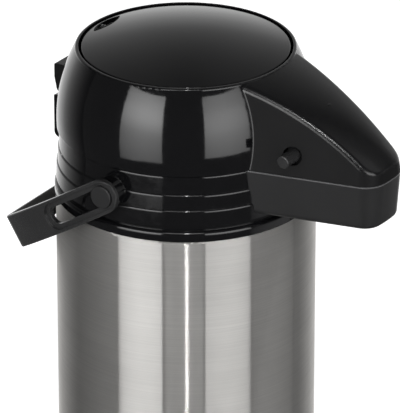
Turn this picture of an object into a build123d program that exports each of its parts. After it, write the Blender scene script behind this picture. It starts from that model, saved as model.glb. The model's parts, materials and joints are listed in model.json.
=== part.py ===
from build123d import *
import os
from math import acos, asin, atan, cos, degrees, pi, radians, sin, sqrt

os.makedirs("parts", exist_ok=True)

# Airpot: a vacuum jug with a push-button pump in a hinged lid, a spout beak and a swing handle.
# The origin is on the body axis at the underside of the foot mat, +Z is up and +X runs to the spout.

# Clearances
running_clearance = 0.06
face_clearance = 0.3
seam_gap = 0.4
seat_clearance = 0.05

# Steel casing
body_radius = 80.0
steel_wall = 0.8
steel_lip = 2.5
steel_corner = 2.0
steel_height = 244.0

# Base ring and swivel foot
mat_thickness = 1.5
mat_inset = 8.0
mat_lip = 0.5
foot_inset = 4.0
foot_thickness = 6.2
hub_radius = 12.0
retainer_radius = 18.0
retainer_thickness = 1.4
screw_radius = 2.0
screw_head_radius = 4.0
screw_head_height = 1.0
screw_length = 7.2
base_overhang = 1.0
base_floor = 3.0
base_wall = 3.0
base_rim_lift = 3.0
base_skirt_height = 19.0
base_spigot_height = 8.0
base_edge_round = 1.5

# Glass vacuum flask
flask_inset = 9.2
glass_wall = 1.8
vacuum_gap = 5.2
flask_bottom_round = 40.0
flask_shoulder_round = 30.0
flask_neck_round = 8.0
neck_radius = 30.0
neck_gap = 1.5
cushion_radius = 22.0
cushion_height = 19.0
cushion_wall = 4.0
gasket_thickness = 3.0
mouth_below_seam = 27.3
neck_length = 17.0
shoulder_rise = 26.0

# Collar
collar_height = 42.3
collar_wall = 2.2
collar_skirt = 9.0
rib_shoulder = 1.6
rib_draft = 0.4
# Each tier of the ribbed collar: how far its top lies below the seam and its side inside the casing's
collar_tiers = ((seam_gap, 2.6), (12.3, 1.6), (22.1, 0.6))
collar_groove_top = 32.8
collar_groove_inset = 1.0
collar_flange_top = 35.8
collar_flange_overhang = 0.7
collar_flange_round = 2.4
deck_thickness = 3.0
neck_sleeve_wall = 2.6
neck_sleeve_drop = 8.0
neck_sleeve_rise = 3.0

# Spout beak
beak_root_x = 50.0
beak_reach = 67.1
beak_nose_bulge = 1.8
beak_half_width_at_axis = 53.8
beak_side_slope = 0.2444
beak_corner = 14.0
beak_wall = 2.5
beak_depth = 29.5
beak_edge_round = 3.5
lower_beak_draft = 4.0
beak_side_draft = 8.6
roof_radius = 211.0
roof_overlap = 1.6
roof_end_setback = 4.4
roof_end_height = 10.9
roof_crown = 4.5
ridge_round = 4.5
roof_sections = 6
roof_overrun = 4.0

# Lid dome
dome_inset = 1.0
dome_widest_height = 5.0
dome_wall = 2.5
rim_height = 52.0
rim_inset = 11.4
rim_round = 1.2
rim_land = 2.2
sleeve_depth = 15.0
sleeve_wall = 2.0

# Hinge behind the lid
pin_offset = 0.5
pin_height = 10.5
pin_radius = 1.5
pin_inset = 0.5
knuckle_radius = 4.0
cheek_radius = 4.2
hinge_half_width = 17.0
tongue_half_width = 10.0
hinge_reach = 6.0
hinge_root = 8.0
hinge_foot_root = 3.0
hinge_top = 25.5
hinge_taper_height = 16.4
hinge_slot_height = 15.5
hinge_slot_root = 12.0
bracket_step = 0.5
bracket_bottom = -24.0
bracket_front_top = 6.0
bracket_rear_top = 4.0
bracket_round = 4.0
hinge_edge_round = 1.0

# Push disc
disc_gap = 1.7
disc_edge_drop = 0.5
disc_crown = 8.6
disc_wall = 2.5
disc_skirt = 10.0
disc_edge_round = 0.8
disc_boss_radius = 12.0
disc_travel = 25.0

# Pump
plate_lift = 1.5
plate_thickness = 2.5
plate_edge_gap = 0.5
cup_thickness = 2.0
cup_radius = 48.0
cup_rim = 3.0
bellows_radius = 46.0
bellows_fold = 6.0
bellows_wall = 1.6
bellows_folds = 6
bellows_flange = 1.2
bellows_length = 40.0
spring_radius = 22.0
spring_wire = 2.0
spring_turns = 6
valve_flap_radius = 12.0
valve_flap_thickness = 1.0
valve_stem_radius = 2.0
port_radius = 2.5
port_circle = 7.0
port_count = 6
lid_gasket_inner = 19.0
lid_gasket_outer = 25.0
lid_gasket_height = 4.5
lid_screw_inset = 5.8
lid_screw_boss = 3.6
lid_screw_radius = 1.5
lid_screw_head = 2.8
lid_screw_head_height = 1.0
lid_screw_length = 10.0
lid_boss_height = 12.0

# Stem, dip tube and discharge tube
plug_flange_radius = 32.0
plug_flange_height = 4.0
plug_radius = 28.0
plug_spigot_radius = 24.6
plug_spigot_length = 13.0
dip_tube_radius = 4.5
dip_tube_bore = 3.2
dip_tube_gap = 6.0
dip_tube_seat = 8.0
ball_radius = 4.5
ball_chamber_radius = 5.5
ball_chamber_height = 12.0
riser_radius = 3.5
air_hole_radius = 2.0
air_hole_circle = 16.0
air_hole_count = 6
discharge_radius = 5.0
discharge_bore = 3.6
discharge_below_seam = 12.0
discharge_seat = 10.0
discharge_bend = 8.0
nozzle_setback = 17.1
nozzle_radius = 7.0
nozzle_flange_radius = 9.0
nozzle_flange_height = 1.5
nozzle_height = 7.5
nozzle_bore = 4.2
passage_clearance = 1.5

# Lock slider at the rear edge of the disc
lock_inset = 6.1
lock_half_length = 13.0
lock_half_width = 3.4
lock_depth = 3.6
lock_floor = 1.6
lock_slider_length = 8.4
lock_slider_width = 3.6
lock_slider_height = 1.6
lock_rest_y = -4.2
lock_travel = 8.0
lock_slot_width = 2.0
lock_cleat_height = 1.2

# Lid release buttons in the sides of the beak
button_setback = 52.1
button_height = 12.5
button_radius = 4.1
button_hole_radius = 5.85
button_proud = 10.8
button_inner_y = 12.0
button_flange_radius = 5.8
button_flange_height = 1.9
button_guide_radius = 6.6
button_guide_end = 14.0
button_travel = 5.0
button_edge_round = 0.6
rib_half_thickness = 1.0
rib_length = 16.0
button_spring_radius = 3.0
button_spring_wire = 0.7
button_spring_turns = 5

# Swing handle
pivot_x = -1.5
pivot_below_seam = 15.5
arm_offset = 10.0
arm_thickness = 4.5
band_width = 21.4
grip_reach = 13.7
grip_rest_gap = 0.42
corner_inset = 18.0
arm_straight = 8.0
corner_round = 9.0
grip_bow = 6.0
grip_relief = 9.0
grip_relief_margin = 20.0
pocket_depth = 1.3
pocket_half_width = 8.6
pocket_front = 2.2
pocket_back = 45.0
slot_half_width = 5.5
slot_back = 41.5
handle_edge_chamfer = 0.6
cap_radius = 7.2
cap_thickness = 1.4
cap_round = 0.5
cap_stem_radius = 5.4
cap_spigot_radius = 3.0
cap_spigot_length = 6.0
boss_radius = 9.4

# Radii and places that follow from the sizes above
foot_radius = body_radius - foot_inset
mat_radius = foot_radius - mat_inset
flask_radius = body_radius - flask_inset
collar_inner_radius = body_radius - collar_tiers[0][1] - collar_wall
collar_groove_radius = body_radius - collar_groove_inset
collar_flange_radius = body_radius + collar_flange_overhang
dome_radius = body_radius - dome_inset
rim_radius = dome_radius - rim_inset
opening_radius = rim_radius - rim_land
beak_nose_x = body_radius + beak_reach
roof_start_x = rim_radius - roof_overlap
roof_end_x = beak_nose_x - roof_end_setback
button_x = beak_nose_x - button_setback
nozzle_x = beak_nose_x - nozzle_setback
pin_x = -body_radius - pin_offset
hinge_rear_x = -body_radius - hinge_reach
bracket_rear_x = hinge_rear_x - bracket_step
lid_screw_circle = dome_radius - lid_screw_inset
disc_radius = opening_radius - disc_gap
lock_x = lock_inset - disc_radius
arm_outer_y = body_radius + arm_offset
arm_reach = body_radius + grip_reach
corner_y = arm_outer_y - corner_inset
grip_relief_half_length = corner_y - grip_relief_margin

# The handle's droop: the relieved lower edge of the grip rests on the back of the casing
grip_inner = arm_reach + grip_bow - arm_thickness
grip_edge = band_width / 2 - grip_relief
grip_rest = (body_radius + grip_rest_gap + pivot_x) / sqrt(grip_inner**2 + grip_edge**2)
handle_droop = degrees(acos(grip_rest) - atan(grip_edge / grip_inner))

# Heights that follow from the sizes above
foot_top_z = mat_thickness + foot_thickness
retainer_low_z = mat_thickness + mat_lip + screw_head_height
hub_low_z = retainer_low_z + retainer_thickness
base_under_z = foot_top_z + face_clearance
base_floor_z = base_under_z + base_floor
steel_bottom_z = base_rim_lift + base_skirt_height
steel_top_z = steel_bottom_z + steel_height
seam_z = steel_top_z + collar_height
mouth_z = seam_z - mouth_below_seam
gasket_top_z = mouth_z + gasket_thickness
flask_bottom_z = base_floor_z + cushion_height
discharge_z = seam_z - discharge_below_seam
plug_top_z = seam_z + plate_lift - lid_gasket_height - face_clearance
pivot_z = seam_z - pivot_below_seam
dome_arc = ((dome_radius - rim_radius) ** 2 + (rim_height - rim_round - dome_widest_height) ** 2) / (
    2 * (dome_radius - rim_radius)
)
disc_edge_z = seam_z + rim_height - disc_edge_drop
disc_sphere = (disc_radius**2 + disc_crown**2) / (2 * disc_crown)
plate_top_z = seam_z + plate_lift + plate_thickness
cup_z = plate_top_z + bellows_length


def turned(points):
    """A solid turned about the body axis from an outline of (radius, height) points."""
    return revolve(Plane.XZ * make_face(Polyline(*points, close=True)), Axis.Z)


def turned_from(*curves):
    """A solid turned about the body axis from curves that close an outline."""
    edges = [edge for curve in curves for edge in curve.edges()]
    return revolve(Plane.XZ * make_face(edges), Axis.Z)


def disc(radius, low, high, x=0.0, y=0.0):
    """An upright round solid between two heights."""
    return Pos(x, y, (low + high) / 2) * Cylinder(radius, high - low)


def washer(outer, inner, low, high):
    """A round solid with a straight bore, about the body axis."""
    return disc(outer, low, high) - disc(inner, low - 1, high + 1)


def rod_along_y(radius, low, high, x, z):
    """A round solid along Y between two places."""
    return Pos(x, (low + high) / 2, z) * Rot(90, 0, 0) * Cylinder(radius, high - low)


def rod_along_x(radius, low, high, z):
    """A round solid along X between two places, over the body's middle plane."""
    return Pos((low + high) / 2, 0, z) * Rot(0, 90, 0) * Cylinder(radius, high - low)


def block(x_low, x_high, y_half, z_low, z_high):
    """A box centred on the body's middle plane."""
    middle = Pos((x_low + x_high) / 2, 0, (z_low + z_high) / 2)
    return middle * Box(x_high - x_low, 2 * y_half, z_high - z_low)


def side_plate(points, half_width):
    """A plate cut from an outline of (x, height) points, centred on the body's middle plane."""
    return extrude(Plane.XZ * make_face(Polyline(*points, close=True)), half_width, both=True)


def make_steel_casing():
    """The brushed tube with its rounded, turned-in ends."""
    middle = (steel_bottom_z + steel_top_z) / 2
    outside = fillet(Cylinder(body_radius, steel_height).edges().filter_by(GeomType.CIRCLE), steel_corner)
    inside = Cylinder(body_radius - steel_wall, steel_height - 2 * steel_wall)
    inside = fillet(inside.edges().filter_by(GeomType.CIRCLE), steel_corner - steel_wall)
    ends = Cylinder(body_radius - steel_lip, steel_height + 2)
    return Pos(0, 0, middle) * (outside - inside - ends)


def make_base_ring():
    """The black base: skirt, floor, swivel hub and the cup that holds the flask's cushion."""
    outer = body_radius + base_overhang
    spigot = body_radius - steel_lip - seat_clearance
    cup_top = base_floor_z + cushion_height / 2
    ring = turned(
        (
            (0, hub_low_z),
            (hub_radius - running_clearance, hub_low_z),
            (hub_radius - running_clearance, base_under_z),
            (outer - base_wall, base_under_z),
            (outer - base_wall, base_rim_lift),
            (outer, base_rim_lift),
            (outer, steel_bottom_z),
            (spigot, steel_bottom_z),
            (spigot, steel_bottom_z + base_spigot_height),
            (spigot - base_wall, steel_bottom_z + base_spigot_height),
            (spigot - base_wall, base_floor_z),
            (cushion_radius + base_wall, base_floor_z),
            (cushion_radius + base_wall, cup_top),
            (cushion_radius + seat_clearance, cup_top),
            (cushion_radius + seat_clearance, base_floor_z),
            (0, base_floor_z),
        )
    )
    rims = ring.edges().filter_by(GeomType.CIRCLE).group_by(SortBy.RADIUS)[-1]
    ring = fillet(rims, base_edge_round / 2)
    return ring - disc(screw_radius, hub_low_z - 1, hub_low_z + screw_length - retainer_thickness)


def make_swivel_foot():
    """The plate that the jug turns on, recessed below for the retainer and the mat."""
    plate = disc(foot_radius, mat_thickness - mat_lip, foot_top_z)
    plate -= disc(mat_radius + seat_clearance, 0, mat_thickness)
    plate -= disc(retainer_radius + face_clearance, 0, hub_low_z + face_clearance)
    plate -= disc(hub_radius, 0, foot_top_z + 1)
    return fillet(plate.edges().filter_by(GeomType.CIRCLE).group_by(SortBy.RADIUS)[-1], mat_lip)


def make_foot_mat():
    """The rubber mat under the foot."""
    return disc(mat_radius, 0, mat_thickness)


def swivel_stack():
    """The retainer disc and the screw that hold the foot on the hub."""
    retainer = disc(retainer_radius, retainer_low_z, hub_low_z)
    retainer -= disc(screw_radius, retainer_low_z - 1, hub_low_z + 1)
    screw = disc(screw_head_radius, retainer_low_z - screw_head_height, retainer_low_z)
    screw += disc(screw_radius - seat_clearance, retainer_low_z, retainer_low_z + screw_length)
    return retainer, screw


def make_flask_cushion():
    """The rubber buffer under the flask."""
    buffer = disc(cushion_radius, base_floor_z, flask_bottom_z)
    hollow = disc(cushion_radius - cushion_wall, base_floor_z, flask_bottom_z - cushion_wall)
    return buffer - hollow


def bottle(inset, neck, top_z):
    """The flask's turned form, moved inwards by an inset, up to a height."""
    radius = flask_radius - inset
    neck_low = mouth_z - neck_length - inset * 0.5
    wall = FilletPolyline(
        (0, flask_bottom_z + inset),
        (radius, flask_bottom_z + inset),
        (radius, neck_low - shoulder_rise),
        (neck, neck_low),
        (neck, top_z),
        radius=[flask_bottom_round - inset, flask_shoulder_round - inset, flask_neck_round],
    )
    close = Polyline((neck, top_z), (0, top_z), (0, flask_bottom_z + inset))
    return turned_from(wall, close)


def make_flask():
    """The outer and inner glass of the vacuum flask, joined at the mouth."""
    rim_z = mouth_z - glass_wall
    depth = glass_wall + vacuum_gap
    inner_neck = neck_radius - glass_wall - neck_gap
    outer = bottle(0, neck_radius, rim_z) - bottle(glass_wall, neck_radius - glass_wall, rim_z + 1)
    inner = bottle(depth, inner_neck, mouth_z)
    inner += washer(neck_radius, inner_neck - glass_wall, rim_z, mouth_z)
    inner -= bottle(depth + glass_wall, inner_neck - glass_wall, mouth_z + 1)
    return outer, inner


def make_neck_gasket():
    """The rubber ring between the flask's mouth and the stem plug."""
    bore = neck_radius - 2 * glass_wall - neck_gap
    return washer(plug_flange_radius, bore, mouth_z, gasket_top_z)


def beak_half_width(x):
    """Half the beak's width at the seam, at a place along it."""
    return beak_half_width_at_axis - beak_side_slope * x


def beak_plan(inset):
    """The beak's outline at the seam, moved inwards by an inset."""
    nose_x = beak_nose_x - beak_nose_bulge
    root = beak_half_width(beak_root_x)
    side = beak_half_width(nose_x)
    outline = make_face(
        [
            Line((beak_root_x, -root), (nose_x, -side)),
            ThreePointArc((nose_x, -side), (beak_nose_x, 0), (nose_x, side)),
            Line((nose_x, side), (beak_root_x, root)),
            Line((beak_root_x, root), (beak_root_x, -root)),
        ]
    )
    outline = fillet(outline.vertices().group_by(Axis.X)[-1], beak_corner)
    if inset:
        outline = offset(outline, -inset)
        outline += Pos(beak_root_x, 0) * Rectangle(4 * inset, 2 * (root - 1.5 * inset))
    return outline


def roof_height(x):
    """The height above the seam of the beak's roof line, an arc from the rim to the nose."""
    run = roof_end_x - roof_start_x
    fall = rim_height - roof_end_height
    chord = sqrt(run**2 + fall**2)
    back = sqrt(roof_radius**2 - (chord / 2) ** 2)
    centre_x = (roof_start_x + roof_end_x) / 2 - back * fall / chord
    centre_h = (rim_height + roof_end_height) / 2 - back * run / chord
    return centre_h + sqrt(roof_radius**2 - (x - centre_x) ** 2)


def beak_roof(drop):
    """The space under the beak's crowned roof, lowered by a drop."""
    sections = []
    first = beak_root_x - roof_overrun
    last = beak_nose_x + roof_overrun
    for step in range(roof_sections):
        x = first + (last - first) * step / (roof_sections - 1)
        half = beak_half_width(x)
        crown_radius = (half**2 + roof_crown**2) / (2 * roof_crown)
        wide = half + beak_wall
        top = seam_z + roof_height(x) - drop
        edge = top - crown_radius + sqrt(crown_radius**2 - wide**2)
        low = seam_z - beak_depth
        outline = make_face(
            [
                Line((-wide, low), (wide, low)),
                Line((wide, low), (wide, edge)),
                ThreePointArc((wide, edge), (0, top), (-wide, edge)),
                Line((-wide, edge), (-wide, low)),
            ]
        )
        sections.append(Plane.YZ.offset(x) * outline)
    return loft(sections)


def upper_beak(inset):
    """The lid's half of the beak, outside for no inset and inside for the wall."""
    height = roof_height(beak_root_x) + beak_wall
    sides = extrude(Pos(0, 0, seam_z) * beak_plan(inset), height, taper=beak_side_draft)
    beak = sides & beak_roof(inset)
    if inset:
        return beak
    nose_x = beak_nose_x - beak_nose_bulge
    ridges = beak.edges().filter_by(
        lambda edge: edge.center().Z > seam_z + 4
        and edge.center().X > beak_root_x + 1
        and abs(edge.tangent_at(0.5).Z) < 0.95
        and edge.center().X < nose_x + beak_nose_bulge
    )
    return fillet(ridges, ridge_round)


def dome(inset):
    """The turned form of the lid, outside for no inset and inside for the wall."""
    arc = dome_arc - inset
    centre = dome_radius - dome_arc
    top = rim_height - rim_round - inset
    low = -inset
    foot = centre + sqrt(arc**2 - (low - dome_widest_height) ** 2)
    middle = centre + sqrt(arc**2 - (top / 2 - dome_widest_height) ** 2)
    head = centre + sqrt(arc**2 - (top - dome_widest_height) ** 2)
    if inset:
        close = Polyline((head, seam_z + top), (0, seam_z + top), (0, seam_z + low), (foot, seam_z + low))
        return turned_from(
            ThreePointArc((foot, seam_z + low), (middle, seam_z + top / 2), (head, seam_z + top)), close
        )
    lip = head - rim_round
    rim_z = seam_z + rim_height
    close = Polyline((lip, rim_z), (0, rim_z), (0, seam_z + low), (foot, seam_z + low))
    return turned_from(
        ThreePointArc((foot, seam_z + low), (middle, seam_z + top / 2), (head, seam_z + top)),
        ThreePointArc(
            (head, seam_z + top),
            (head - 0.35 * rim_round, rim_z - 0.3 * rim_round),
            (lip, rim_z),
        ),
        close,
    )


def hinge_cheek_profile():
    """The lid's hinge block seen from the side: a rounded foot about the pin under a tapered block."""
    pin_z = seam_z + pin_height
    body = side_plate(
        (
            (pin_x - cheek_radius, pin_z),
            (hinge_rear_x, seam_z + hinge_taper_height),
            (hinge_rear_x, seam_z + hinge_top),
            (hinge_root - dome_radius, seam_z + hinge_top),
            (hinge_foot_root - dome_radius, pin_z),
        ),
        hinge_half_width,
    )
    body = fillet(body.edges().filter_by(Axis.Y).sort_by(Axis.Z)[-2:].sort_by(Axis.X)[0], hinge_edge_round)
    return body + rod_along_y(cheek_radius, -hinge_half_width, hinge_half_width, pin_x, pin_z)


def release_guide(side):
    """The tube inside the beak that guides one release button."""
    outer = beak_half_width(button_x)
    z = seam_z + button_height
    low, high = sorted((side * button_guide_end, side * outer))
    return rod_along_y(button_guide_radius, low, high, button_x, z)


def screw_places():
    """The four places of the lid's screws, between the spout and the hinge."""
    return [
        (lid_screw_circle * cos(radians(angle)), lid_screw_circle * sin(radians(angle)))
        for angle in (50, 130, 230, 310)
    ]


def make_lid_shell():
    """The glossy lid: dome, rim, sleeve for the disc, upper beak, hinge block and button guides."""
    envelope = dome(0) + upper_beak(0)
    shell = envelope + hinge_cheek_profile() - dome(dome_wall) - upper_beak(beak_wall)
    shell -= disc(opening_radius, seam_z + rim_height - sleeve_depth, seam_z + 2 * rim_height)
    shell += washer(
        opening_radius + sleeve_wall,
        opening_radius,
        seam_z + rim_height - sleeve_depth,
        seam_z + rim_height - rim_round,
    )
    for x, y in screw_places():
        shell += disc(lid_screw_boss, plate_top_z, plate_top_z + lid_boss_height, x, y)
        shell -= disc(lid_screw_radius, plate_top_z - 1, plate_top_z + lid_screw_length - 1, x, y)
    rib_top = seam_z + roof_height(button_x) - beak_wall / 2
    shell += block(
        button_x - rib_length / 2,
        button_x + rib_length / 2,
        rib_half_thickness,
        plate_top_z + face_clearance,
        rib_top - roof_crown / 2,
    )
    z = seam_z + button_height
    for side in (-1, 1):
        shell += release_guide(side) & envelope
        low, high = sorted((0.0, side * beak_half_width(beak_root_x)))
        guide_end = side * (beak_half_width(button_x) - 2 * beak_wall)
        shell -= rod_along_y(button_radius + running_clearance, low, high, button_x, z) - rod_along_y(
            button_radius + 1, -button_guide_end + 1, button_guide_end - 1, button_x, z
        )
        near, far = sorted((guide_end, side * (beak_half_width(button_x) + beak_wall)))
        shell -= rod_along_y(button_hole_radius, near, far, button_x, z)
    slot_half = tongue_half_width + face_clearance
    slot_front = hinge_slot_root - dome_radius
    shell -= block(2 * hinge_rear_x, slot_front, slot_half, seam_z - cheek_radius, seam_z + hinge_slot_height)
    return shell - make_hinge_pin()


def make_hinge_pin():
    """The steel pin through the lid's cheeks and the collar's tongue."""
    end = hinge_half_width - pin_inset
    return rod_along_y(pin_radius, -end, end, pin_x, seam_z + pin_height)


def collar_outside():
    """The turned outside of the ribbed collar, each tier with a rounded shoulder."""
    curves = []
    bottoms = [below for below, tier_inset in collar_tiers[1:]] + [collar_groove_top]
    starts = [body_radius - tier_inset - rib_shoulder for below, tier_inset in collar_tiers[1:]]
    starts.append(collar_groove_radius)
    for (below, tier_inset), bottom, start in zip(collar_tiers, bottoms, starts):
        radius = body_radius - tier_inset
        top_z = seam_z - below
        low_z = seam_z - bottom
        bend = rib_shoulder * (1 - sqrt(0.5))
        curves.append(
            ThreePointArc(
                (radius - rib_shoulder, top_z),
                (radius - bend, top_z - bend),
                (radius, top_z - rib_shoulder),
            )
        )
        curves.append(Line((radius, top_z - rib_shoulder), (radius + rib_draft, low_z)))
        curves.append(Line((radius + rib_draft, low_z), (start, low_z)))
    flange_z = seam_z - collar_flange_top
    flange_start = collar_flange_radius - collar_flange_round
    bend = collar_flange_round * (1 - sqrt(0.5))
    curves.append(Polyline((collar_groove_radius, seam_z - collar_groove_top), (flange_start, flange_z)))
    curves.append(
        ThreePointArc(
            (flange_start, flange_z),
            (collar_flange_radius - bend, flange_z - bend),
            (collar_flange_radius, flange_z - collar_flange_round),
        )
    )
    curves.append(
        Polyline(
            (collar_flange_radius, flange_z - collar_flange_round),
            (collar_flange_radius, steel_top_z),
            (body_radius - steel_lip - seat_clearance, steel_top_z),
            (body_radius - steel_lip - seat_clearance, steel_top_z - collar_skirt),
            (0, steel_top_z - collar_skirt),
            (0, seam_z - collar_tiers[0][0]),
            (body_radius - collar_tiers[0][1] - rib_shoulder, seam_z - collar_tiers[0][0]),
        )
    )
    return turned_from(*curves)


def hinge_bracket():
    """The collar's hinge bracket: a block on the wall with a tongue up to the pin."""
    pin_z = seam_z + pin_height
    bracket = side_plate(
        (
            (bracket_rear_x, seam_z + bracket_rear_top),
            (bracket_rear_x, seam_z + bracket_bottom),
            (-collar_inner_radius - collar_wall / 2, seam_z + bracket_bottom),
            (-collar_inner_radius - collar_wall / 2, seam_z + bracket_front_top),
            (pin_x, seam_z + bracket_front_top),
        ),
        hinge_half_width,
    )
    low_rear = bracket.edges().filter_by(Axis.Y).group_by(Axis.Z)[0].sort_by(Axis.X)[0]
    bracket = fillet(low_rear, bracket_round)
    bracket -= disc(dome_radius + face_clearance + 0.2, seam_z - seam_gap, seam_z + 2 * bracket_front_top)
    tongue = side_plate(
        (
            (pin_x - knuckle_radius, pin_z),
            (pin_x - knuckle_radius, seam_z - pin_height),
            (pin_x + knuckle_radius, seam_z - pin_height),
            (pin_x + knuckle_radius, pin_z),
        ),
        tongue_half_width,
    )
    tongue += rod_along_y(knuckle_radius, -tongue_half_width, tongue_half_width, pin_x, pin_z)
    return bracket + tongue


def make_collar():
    """The ribbed collar with its deck, neck sleeve, hinge bracket and pivot bosses."""
    deck_top = seam_z - mouth_below_seam + gasket_thickness + deck_thickness
    sleeve_outer = plug_flange_radius + neck_sleeve_wall
    collar = collar_outside()
    collar += hinge_bracket()
    collar -= disc(collar_inner_radius, deck_top, seam_z + 1)
    collar -= washer(
        collar_inner_radius, sleeve_outer, steel_top_z - collar_skirt - 1, deck_top - deck_thickness
    )
    collar -= disc(plug_flange_radius + seat_clearance, steel_top_z - collar_skirt - 1, seam_z + 1)
    collar -= disc(sleeve_outer + 1, steel_top_z - collar_skirt - 1, mouth_z - neck_sleeve_drop)
    collar += washer(
        sleeve_outer, plug_flange_radius + seat_clearance, deck_top - 1, deck_top + neck_sleeve_rise
    )
    for side in (-1, 1):
        face = arm_outer_y - arm_thickness - face_clearance
        low, high = sorted((side * (collar_inner_radius + collar_wall / 2), side * face))
        collar += rod_along_y(boss_radius, low, high, pivot_x, pivot_z)
        low, high = sorted((side * (face - cap_spigot_length - 0.5), side * (face + 1)))
        collar -= rod_along_y(cap_spigot_radius + seat_clearance, low, high, pivot_x, pivot_z)
    passage = discharge_radius + passage_clearance
    collar -= rod_along_x(passage, plug_flange_radius, 2 * body_radius, discharge_z)
    ends = tongue_half_width + 1
    return collar - rod_along_y(pin_radius + running_clearance, -ends, ends, pin_x, seam_z + pin_height)


def make_lower_beak():
    """The lower half of the beak: a tray on the collar's ribs, open above, with the nozzle's hole."""
    low = seam_z - beak_depth
    tray = extrude(Pos(0, 0, seam_z - seam_gap) * beak_plan(0), seam_gap - beak_depth, taper=lower_beak_draft)
    rims = tray.edges().group_by(Axis.Z)[0].filter_by(lambda edge: edge.center().X > beak_root_x + 1)
    tray = fillet(rims, beak_edge_round)
    hollow = extrude(
        Pos(0, 0, seam_z - seam_gap) * offset(beak_plan(0), -beak_wall),
        seam_gap + beak_wall - beak_depth,
        taper=lower_beak_draft,
    )
    root = body_radius + beak_wall
    tray -= hollow - disc(root, 0, seam_z + 1)
    tray -= collar_outside()
    tray -= rod_along_x(discharge_radius + passage_clearance, 0, root + 1, discharge_z)
    return tray - disc(nozzle_radius + seat_clearance, low - 1, low + 2 * beak_wall, nozzle_x)


def make_stem_plug():
    """The plug in the flask's mouth, with its riser, ball chamber, side outlet and air holes."""
    spigot_low = gasket_top_z - plug_spigot_length
    plug = disc(plug_spigot_radius, spigot_low, gasket_top_z)
    plug += disc(plug_flange_radius, gasket_top_z, gasket_top_z + plug_flange_height)
    plug += disc(plug_radius, gasket_top_z, plug_top_z)
    seat_top = spigot_low + dip_tube_seat
    plug -= disc(dip_tube_radius + seat_clearance, spigot_low - 1, seat_top)
    plug -= disc(ball_chamber_radius, seat_top, seat_top + ball_chamber_height)
    plug -= disc(riser_radius, seat_top, discharge_z)
    plug -= rod_along_x(riser_radius, 0, plug_radius, discharge_z)
    plug -= rod_along_x(
        discharge_radius + seat_clearance, plug_radius - discharge_seat, plug_radius + 1, discharge_z
    )
    for step in range(air_hole_count):
        angle = 2 * pi * (step + 0.5) / air_hole_count
        plug -= disc(
            air_hole_radius,
            spigot_low - 1,
            plug_top_z + 1,
            air_hole_circle * cos(angle),
            air_hole_circle * sin(angle),
        )
    return plug


def make_valve_ball():
    """The loose ball that shuts the riser when the jug tips over, resting on the dip tube."""
    seat_top = gasket_top_z - plug_spigot_length + dip_tube_seat
    return Pos(0, 0, seat_top + sqrt(ball_radius**2 - dip_tube_bore**2)) * Sphere(ball_radius)


def make_dip_tube():
    """The tube from the plug down to just above the flask's floor."""
    low = flask_bottom_z + 2 * glass_wall + vacuum_gap + dip_tube_gap
    high = gasket_top_z - plug_spigot_length + dip_tube_seat
    return washer(dip_tube_radius, dip_tube_bore, low, high)


def make_discharge_tube():
    """The tube from the plug's side outlet to the nozzle, bent down at the end."""
    start = plug_radius - discharge_seat
    bend_x = nozzle_x - discharge_bend
    low = seam_z - beak_depth + beak_wall + 1.0
    path = Wire(
        [
            Line((start, 0, discharge_z), (bend_x, 0, discharge_z)),
            ThreePointArc(
                (bend_x, 0, discharge_z),
                (
                    bend_x + discharge_bend * sin(pi / 4),
                    0,
                    discharge_z - discharge_bend * (1 - cos(pi / 4)),
                ),
                (nozzle_x, 0, discharge_z - discharge_bend),
            ),
            Line((nozzle_x, 0, discharge_z - discharge_bend), (nozzle_x, 0, low)),
        ]
    )
    place = Plane(origin=(start, 0, discharge_z), z_dir=(1, 0, 0))
    return sweep(place * (Circle(discharge_radius) - Circle(discharge_bore)), path=path)


def make_nozzle():
    """The sleeve that carries the discharge tube's end in the floor of the beak."""
    low = seam_z - beak_depth
    floor_top = low + beak_wall
    tube_end = floor_top + 1.0
    nozzle = disc(nozzle_radius, low, low + nozzle_height, nozzle_x)
    nozzle += disc(nozzle_flange_radius, floor_top, floor_top + nozzle_flange_height, nozzle_x)
    nozzle -= disc(discharge_radius + seat_clearance, tube_end, low + nozzle_height + 1, nozzle_x)
    return nozzle - disc(nozzle_bore, low - 1, tube_end + 1, nozzle_x)


def make_lid_plate():
    """The plate that closes the lid from below and carries the bellows."""
    height = plate_lift - dome_widest_height
    radius = dome_radius - dome_arc + sqrt((dome_arc - dome_wall) ** 2 - height**2) - plate_edge_gap
    plate = disc(radius, plate_top_z - plate_thickness, plate_top_z)
    tail = extrude(
        Pos(0, 0, plate_top_z - plate_thickness) * beak_plan(beak_wall + 2 * plate_edge_gap), plate_thickness
    )
    plate += tail
    for step in range(port_count):
        angle = 2 * pi * step / port_count
        plate -= disc(
            port_radius, seam_z, plate_top_z + 1, port_circle * cos(angle), port_circle * sin(angle)
        )
    for x, y in screw_places():
        plate -= disc(lid_screw_radius + 2 * seat_clearance, seam_z, plate_top_z + 1, x, y)
    return plate - disc(valve_stem_radius, seam_z, plate_top_z + 1)


def make_lid_screws():
    """The four screws that hold the plate to the lid's bosses."""
    head_top = seam_z + plate_lift
    screws = []
    for x, y in screw_places():
        screw = disc(lid_screw_head, head_top - lid_screw_head_height, head_top, x, y)
        screw += disc(lid_screw_radius - seat_clearance, head_top, head_top + lid_screw_length, x, y)
        screws.append(screw)
    return Compound(screws)


def make_lid_gasket():
    """The soft ring under the plate that seals on the stem plug."""
    return washer(lid_gasket_outer, lid_gasket_inner, plug_top_z + face_clearance, seam_z + plate_lift)


def make_air_valve():
    """The rubber flap over the plate's ports, with its button below the plate."""
    valve = disc(valve_flap_radius, plate_top_z, plate_top_z + valve_flap_thickness)
    valve += disc(valve_stem_radius, seam_z + plate_lift - valve_flap_thickness, plate_top_z)
    knob_low = seam_z + plate_lift - valve_flap_thickness
    return valve + disc(valve_stem_radius + 1, knob_low, seam_z + plate_lift)


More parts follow.
